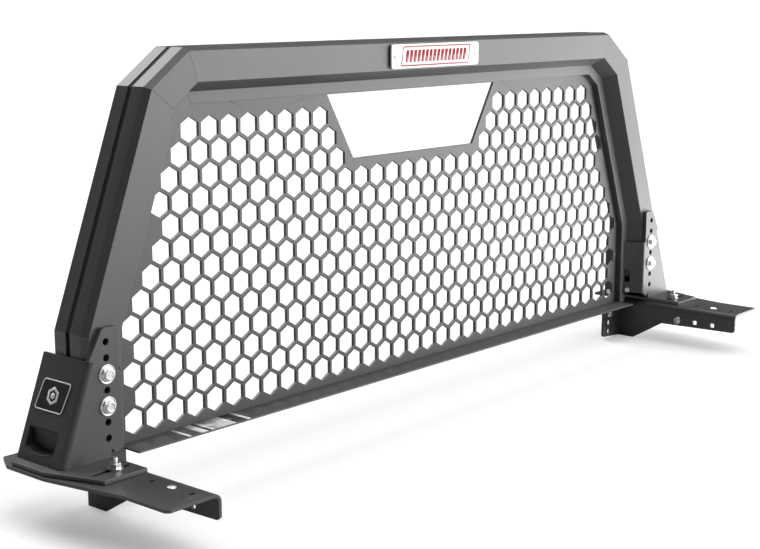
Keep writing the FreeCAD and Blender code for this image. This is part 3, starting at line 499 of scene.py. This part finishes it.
# printed bands across the lip near its left end: distance from the end, width, finish
LIP_BANDS_MM = (
    (105, 7, PRINT), (133, 16, PRINT), (149.5, 7, BLACK_PRINT), (157, 6, PRINT), (163, 43, GREY_PRINT),
    (206, 6, PRINT), (212.5, 24.5, BLACK_PRINT), (238, 8, PRINT))
LIP_FRONT_MARGIN = 1.0 * MM
LIP_BACK_MARGIN = 0.3 * MM
LIP_PRINT_HEIGHT = 0.12 * MM


def make_lip_bands():
    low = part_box("bottom_rail")[0]
    panel_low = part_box("mesh_panel")[0]
    front, back = low[1] + LIP_FRONT_MARGIN, panel_low[1] - LIP_BACK_MARGIN
    lip_top = Matrix.Translation((0, 0, panel_low[2]))
    groups = {}
    for start, width, material in LIP_BANDS_MM:
        groups.setdefault(material.name, (material, []))[1].append((start, width))
    for name, (material, bands) in groups.items():
        work = bmesh.new()
        for start, width in bands:
            left = low[0] + start * MM
            right = left + width * MM
            corners = [(left, front), (right, front), (right, back), (left, back)]
            add_plate(work, corners, LIP_PRINT_HEIGHT, lip_top)
        new_piece("lip_bands_" + name, work, material, "hoop", "name_plate_paint")


make_name_plate()
for side in ("left", "right"):
    make_badge_print(side)
make_lip_bands()


# ---------------------------------------------------------------- fasteners

WIDE_HEXAGON = 17 * MM  # of the height bolts and the stud's nut
WIDE_SHANK = 5 * MM  # radius of the height bolts and the stud
RAIL_HEXAGON = 14 * MM
RAIL_SHANK = 4 * MM
TIP_TAPER = 1.2 * MM  # how much a shank's tip is thinner than the shank
BORE_GAP = 0.1 * MM  # between a nut and its bolt


def make_height_bolts(side):
    """Two flanged hexagon bolts, their heads in front of the washers."""
    node = side + "_height_bolts"
    low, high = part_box(node)
    washer_low, washer_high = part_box(side + "_height_washers")
    washer_reach = (washer_high[0] - washer_low[0]) / 2
    seat = washer_low[1]
    head_tall = seat - low[1]
    shank_long = high[1] - seat
    flange = (high[0] - low[0]) / 2
    hexagon = WIDE_HEXAGON
    flange_edge, flange_foot, flange_top = 0.3 * MM, 0.4 * MM, 1.0 * MM
    skirt_top, skirt_reach = 1.9 * MM, 0.62 * hexagon
    hexagon_foot, foot_reach, hexagon_clear = 2.2 * MM, 0.54 * hexagon, 2.4 * MM
    dish_edge, dish_floor, dish_deep = 0.36 * hexagon, 0.31 * hexagon, 0.8 * MM
    levels = [(-shank_long, WIDE_SHANK - TIP_TAPER)]
    levels += thread(WIDE_SHANK, -shank_long + 1 * MM, -0.5 * MM)
    levels += [(0, WIDE_SHANK), (0, flange - flange_edge), (flange_foot, flange), (flange_top, flange),
               (skirt_top, skirt_reach), (hexagon_foot, foot_reach, hexagon)]
    levels += hexagon_sides(hexagon_clear, head_tall, hexagon)
    levels += [(head_tall, dish_edge), (head_tall - dish_deep, dish_floor)]
    work = bmesh.new()
    for height in (washer_low[2] + washer_reach, washer_high[2] - washer_reach):
        add_stack(work, levels, frame_at((middle(node)[0], seat, height), (0, -1, 0)))
    new_fastener(side + "_height_bolt_heads", work, node, 0.2 * MM)


def make_height_washers(side):
    """Thick turned washers with a raised rim and a slightly hollow face."""
    node = side + "_height_washers"
    low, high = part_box(node)
    reach = (high[0] - low[0]) / 2
    thick = high[1] - low[1]
    bore = WIDE_SHANK + 0.3 * MM
    back_edge, front_edge = 0.4 * MM, 0.5 * MM
    rim_ends, groove_starts, groove_ends, hub_starts = 1.6 * MM, 2.4 * MM, 3.6 * MM, 4.4 * MM
    groove = thick - 0.5 * MM
    levels = [(0, bore), (0, reach - back_edge), (back_edge, reach), (thick - front_edge, reach),
              (thick, reach - front_edge), (thick, reach - rim_ends), (groove, reach - groove_starts),
              (groove, reach - groove_ends), (thick, reach - hub_starts), (thick, bore)]
    work = bmesh.new()
    for height in (low[2] + reach, high[2] - reach):
        place = frame_at((middle(node)[0], high[1], height), (0, -1, 0))
        add_stack(work, levels, place, closed=True)
    new_fastener(side + "_height_washer_discs", work, node, 0.15 * MM)


def make_stud(side):
    """An upright stud, threaded over its whole length, with a tapered tip."""
    node = side + "_width_stud"
    low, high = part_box(node)
    across, along, _ = middle(node)
    radius = (high[0] - low[0]) / 2
    tall = high[2] - low[2]
    levels = [(0, radius)] + thread(radius, 0.5 * MM, tall - 1 * MM) + [(tall, radius - TIP_TAPER)]
    work = bmesh.new()
    add_stack(work, levels, Matrix.Translation((across, along, low[2])))
    new_fastener(side + "_stud_thread", work, node, 0.1 * MM)


def make_nut(node, name, up, shank, hexagon):
    """A hexagon nut with rounded corners and a countersunk bore, its top facing up (1) or down (-1)."""
    low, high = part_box(node)
    tall = high[2] - low[2]
    across, along, _ = middle(node)
    seat = (across, along, low[2] if up > 0 else high[2])
    bore = shank + BORE_GAP
    foot_mouth, top_mouth, sink_deep = shank + 0.9 * MM, shank + 1.0 * MM, 0.9 * MM
    levels = [(0, bore), (0, foot_mouth)] + hexagon_sides(0, tall, hexagon)
    levels += [(tall, top_mouth), (tall - sink_deep, bore)]
    work = bmesh.new()
    add_stack(work, levels, frame_at(seat, (0, 0, up)), closed=True)
    new_fastener(name, work, node, 0.15 * MM)


def make_rail_bolt(side):
    """A carriage bolt: a low dome over a shank that is threaded but for its neck."""
    node = side + "_rail_bolt"
    low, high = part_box(node)
    across, along, _ = middle(node)
    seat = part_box(side + "_bed_rail_bracket")[1][2]
    reach = (high[0] - low[0]) / 2
    dome = high[2] - seat
    rim = 0.5 * MM
    neck_foot = seat - 5.5 * MM
    dome_top = 0.6 * MM
    dome_steps = 6
    ball = (reach * reach + dome * dome) / (2 * dome)
    levels = [(low[2], RAIL_SHANK - 1 * MM)]
    levels += thread(RAIL_SHANK, low[2] + 1 * MM, seat - 6 * MM, FINE_PITCH)
    levels += [(neck_foot, RAIL_SHANK), (seat, RAIL_SHANK), (seat, reach - 0.1 * MM), (seat + rim, reach)]
    for step in range(1, dome_steps):
        height = rim + (dome - rim) * step / dome_steps
        levels.append((seat + height, math.sqrt(max(0.0, ball * ball - (height + ball - dome) ** 2))))
    levels.append((high[2], dome_top))
    work = bmesh.new()
    add_stack(work, levels, Matrix.Translation((across, along, 0)))
    new_piece(side + "_carriage_bolt", work, ZINC, body_of[node], "zinc_steel", node)


def solid_boxes(node):
    """Low and high corners of each separate solid of a CAD node."""
    work = bmesh.new()
    work.from_mesh(nodes[node].data)
    work.transform(nodes[node].matrix_world)
    bmesh.ops.remove_doubles(work, verts=work.verts, dist=WELD_DISTANCE)
    waiting = set(work.verts)
    boxes = []
    while waiting:
        reached = [waiting.pop()]
        solid = list(reached)
        while reached:
            for edge in reached.pop().link_edges:
                for vert in edge.verts:
                    if vert in waiting:
                        waiting.remove(vert)
                        reached.append(vert)
                        solid.append(vert)
        places = [vert.co for vert in solid]
        boxes.append(([min(co[axis] for co in places) for axis in range(3)],
                      [max(co[axis] for co in places) for axis in range(3)]))
    work.free()
    return sorted(boxes)


BUTTON_CROWN = 0.62  # radius of the button's flat top, as a share of the head's
BUTTON_RIM = 0.12  # height of the button's upright edge, as a share of the head's
BUTTON_STEPS = 4
SOCKET_SHARE = 0.5  # socket's width as a share of the head's
SOCKET_CORNER = 0.58  # a little more than a hexagon's corner reach, as a share of its width
SOCKET_FLOOR = 0.3  # height of the socket's floor, as a share of the head's
SEAT_SHARE = 0.96  # radius of the head's underside, as a share of the head's
TIP_SHARE = 0.8  # radius of the shank's tip, as a share of the shank's
THREADED_FROM = 6 * MM  # shorter shanks stay plain
NECK_LONG = 5.0 * MM
THREAD_MARGIN = 0.5 * MM


def button_levels(shank, shank_long, reach, head_tall):
    """Levels of a round-headed bolt with a hexagon socket, its head above height zero."""
    socket = SOCKET_SHARE * 2 * reach
    crown = BUTTON_CROWN * reach
    levels = [(-shank_long, TIP_SHARE * shank)]
    if shank_long > THREADED_FROM:
        levels += thread(shank, THREAD_MARGIN - shank_long, -NECK_LONG - THREAD_MARGIN, FINE_PITCH)
    levels += [(-min(shank_long / 2, NECK_LONG), shank), (0, shank), (0, SEAT_SHARE * reach),
               (BUTTON_RIM * head_tall, reach)]
    for step in range(1, BUTTON_STEPS + 1):
        turn = math.radians(90 * step / BUTTON_STEPS)
        height = head_tall * (BUTTON_RIM + (1 - BUTTON_RIM) * math.sin(turn))
        levels.append((height, crown + (reach - crown) * math.cos(turn)))
    levels += [(head_tall, SOCKET_CORNER * socket, socket),
               (SOCKET_FLOOR * head_tall, SOCKET_CORNER * socket, socket)]
    return levels


def head_side(node, spans):
    """Which way a bolt's head points when only its box is known: along its long axis, towards the
    front or towards the truck's middle."""
    axis = spans.index(max(spans))
    direction = [0, 0, 0]
    direction[axis] = -1 if axis == 1 or middle(node)[0] > 0 else 1
    return direction


def make_button_bolts(node, name, shank, head_tall, outward=None):
    """Round-headed bolts or screws, one for each solid of a CAD node, their heads pointing outward."""
    work = bmesh.new()
    for low, high in solid_boxes(node):
        spans = [last - first for first, last in zip(low, high)]
        direction = outward or head_side(node, spans)
        axis = [abs(part) for part in direction].index(1)
        reach = spans[(axis + 1) % 3] / 2
        head_top = high[axis] if direction[axis] > 0 else low[axis]
        seat = [(first + last) / 2 for first, last in zip(low, high)]
        seat[axis] = head_top - direction[axis] * head_tall
        levels = button_levels(shank, spans[axis] - head_tall, reach, head_tall)
        add_stack(work, levels, frame_at(seat, direction))
    new_fastener(name, work, node, 0.12 * MM)


make_button_bolts("panel_screws", "panel_button_screws", shank=2.4 * MM, head_tall=2.6 * MM,
                  outward=(0, 1, 0))
make_button_bolts("name_plate_screws", "name_plate_button_screws", shank=2.0 * MM, head_tall=2.0 * MM,
                  outward=(0, -1, 0))
for side in ("left", "right"):
    make_button_bolts(side + "_clamp_bolts", side + "_clamp_button_bolts", shank=4.0 * MM,
                      head_tall=5.0 * MM)
    make_height_bolts(side)
    make_height_washers(side)
    make_stud(side)
    make_nut(side + "_width_nut", side + "_width_hex_nut", 1, WIDE_SHANK, WIDE_HEXAGON)
    make_nut(side + "_rail_nut", side + "_rail_hex_nut", -1, RAIL_SHANK, RAIL_HEXAGON)
    make_rail_bolt(side)


# ---------------------------------------------------------------- carried-over CAD nodes

# edge rounding by words in the node's name, first match first
BEVELS_MM = {
    "bed_rail_bracket": 0.9, "foot_bracket": 0.9, "bottom_rail": 0.5, "rail": 0.35, "post": 0.35,
    "slot_trim": 0.25, "foot_base": 0.9, "cup": 0.5}
PLAIN_BEVEL_MM = 0.4

# extruded nodes whose shallow edges are rounded as well
CRISP_WORDS = ("crown_rail", "corner_rail", "leg_rail", "lower_post", "slot_trim")
CRISP_ANGLE = 12.0


def bevel_of(name):
    for word, width in BEVELS_MM.items():
        if word in name:
            return width * MM
    return PLAIN_BEVEL_MM * MM


for name, node in nodes.items():
    node.data.materials.clear()
    node.data.materials.append(SLOT_MATERIALS[slot_of[name]])
    crisp = any(word in name for word in CRISP_WORDS)
    soften(node, bevel_of(name), CRISP_ANGLE if crisp else BEVEL_ANGLE)


# ---------------------------------------------------------------- floor, lights and camera

FLOOR_SPAN = 1200.0
FLOOR_PALE = 0.75
FLOOR_BOUNCE = 0.5
FLOOR_GLOW = 0.3
SKY_DARK_BELOW = 0.3
SKY_BRIGHT_ABOVE = 0.9
SKY_LOW = 0.03
SKY_HIGH = 1.1
SKY_SEEN = 1.0
RACK_MIDDLE = (0.0, 0.2, 0.3)
CAMERA_YAW = 49.13
CAMERA_PITCH = 10.86
CAMERA_PLACE = (-2.1567, -1.5611, 0.7127)
CAMERA_LENS = 68.94
CAMERA_SENSOR = 36.0


def put(name, data):
    """Adds a light or camera to the scene."""
    thing = bpy.data.objects.new(name, data)
    bpy.context.scene.collection.objects.link(thing)
    return thing


def area_light(name, place, target, size, radiance):
    """A soft box: its power follows from how bright its surface is to look."""
    data = bpy.data.lights.new(name, "AREA")
    data.shape = "RECTANGLE"
    data.size, data.size_y = size
    data.energy = radiance * math.pi * size[0] * size[1]
    lamp = put(name, data)
    lamp.location = place
    lamp.rotation_euler = (Vector(target) - Vector(place)).to_track_quat("-Z", "Y").to_euler()
    lamp.visible_camera = False


def sun_light(name, direction, irradiance, spread):
    """A very wide sun: even over the whole floor, soft like a large box overhead."""
    data = bpy.data.lights.new(name, "SUN")
    data.energy = irradiance
    data.angle = math.radians(spread)
    lamp = put(name, data)
    lamp.rotation_euler = Vector(direction).to_track_quat("Z", "Y").to_euler()


def make_floor():
    """A pale floor that throws less light back up at the rack than it shows to the camera."""
    bpy.ops.mesh.primitive_plane_add(size=FLOOR_SPAN, location=(0, 0, cad_low[2]))
    floor = bpy.context.object
    floor.name = "floor"
    material, shader = new_material("pale_floor", (FLOOR_PALE,) * 3, roughness=0.8, specular=0.1)
    path = add_node(material, "ShaderNodeLightPath")
    seen = mix_color(material, path.outputs["Is Camera Ray"], (FLOOR_BOUNCE,) * 3, (FLOOR_PALE,) * 3)
    link(material, seen, shader.inputs["Base Color"])
    glow = span(material, path.outputs["Is Camera Ray"], 0.0, FLOOR_GLOW)
    shader.inputs["Emission Color"].default_value = (1.0, 1.0, 1.0, 1.0)
    link(material, glow, shader.inputs["Emission Strength"])
    floor.data.materials.append(material)


def make_sky():
    """A studio that is dark low down and bright overhead. The camera itself sees it pale."""
    world = bpy.data.worlds.new("studio")
    world.use_nodes = True
    tree = world.node_tree
    coordinates = tree.nodes.new("ShaderNodeTexCoord")
    parts = tree.nodes.new("ShaderNodeSeparateXYZ")
    tree.links.new(coordinates.outputs["Generated"], parts.inputs["Vector"])
    height = tree.nodes.new("ShaderNodeMapRange")
    height.interpolation_type = "SMOOTHSTEP"
    height.inputs["From Min"].default_value = SKY_DARK_BELOW
    height.inputs["From Max"].default_value = SKY_BRIGHT_ABOVE
    height.inputs["To Min"].default_value = SKY_LOW
    height.inputs["To Max"].default_value = SKY_HIGH
    tree.links.new(parts.outputs["Z"], height.inputs["Value"])
    path = tree.nodes.new("ShaderNodeLightPath")
    choice = tree.nodes.new("ShaderNodeMix")
    unseen, seen = choice.inputs[2], choice.inputs[3]
    tree.links.new(path.outputs["Is Camera Ray"], choice.inputs["Factor"])
    tree.links.new(height.outputs["Result"], unseen)
    seen.default_value = SKY_SEEN
    tree.links.new(choice.outputs[0], tree.nodes["Background"].inputs["Strength"])
    bpy.context.scene.world = world


def make_lights():
    low_place = (1.75, -0.45, cad_low[2] + 2 * MM)
    low_target = (1.75, -0.45, 2.0)
    sun_light("overhead_back", (0.1, 0.72, 0.68), irradiance=1.9, spread=36)
    sun_light("overhead_front", (0.3, -0.3, 0.9), irradiance=2.5, spread=80)
    area_light("right_box", (3.3, -1.15, 0.46), (0.7, 0.17, 0.1), size=(2.2, 1.05), radiance=5.0)
    area_light("front_box", (3.0, -4.4, 0.7), RACK_MIDDLE, size=(3.2, 2.0), radiance=10.0)
    area_light("low_box", low_place, low_target, size=(1.5, 1.0), radiance=8.0)


def make_camera():
    data = bpy.data.cameras.new("camera")
    data.sensor_width = CAMERA_SENSOR
    data.lens = CAMERA_LENS
    data.clip_end = 2000.0
    camera = put("camera", data)
    camera.location = CAMERA_PLACE
    camera.rotation_euler = (math.radians(90 - CAMERA_PITCH), 0, math.radians(-CAMERA_YAW))
    bpy.context.scene.camera = camera


make_floor()
make_sky()
make_lights()
make_camera()
bpy.context.scene.view_settings.view_transform = "Standard"

bpy.context.view_layer.update()
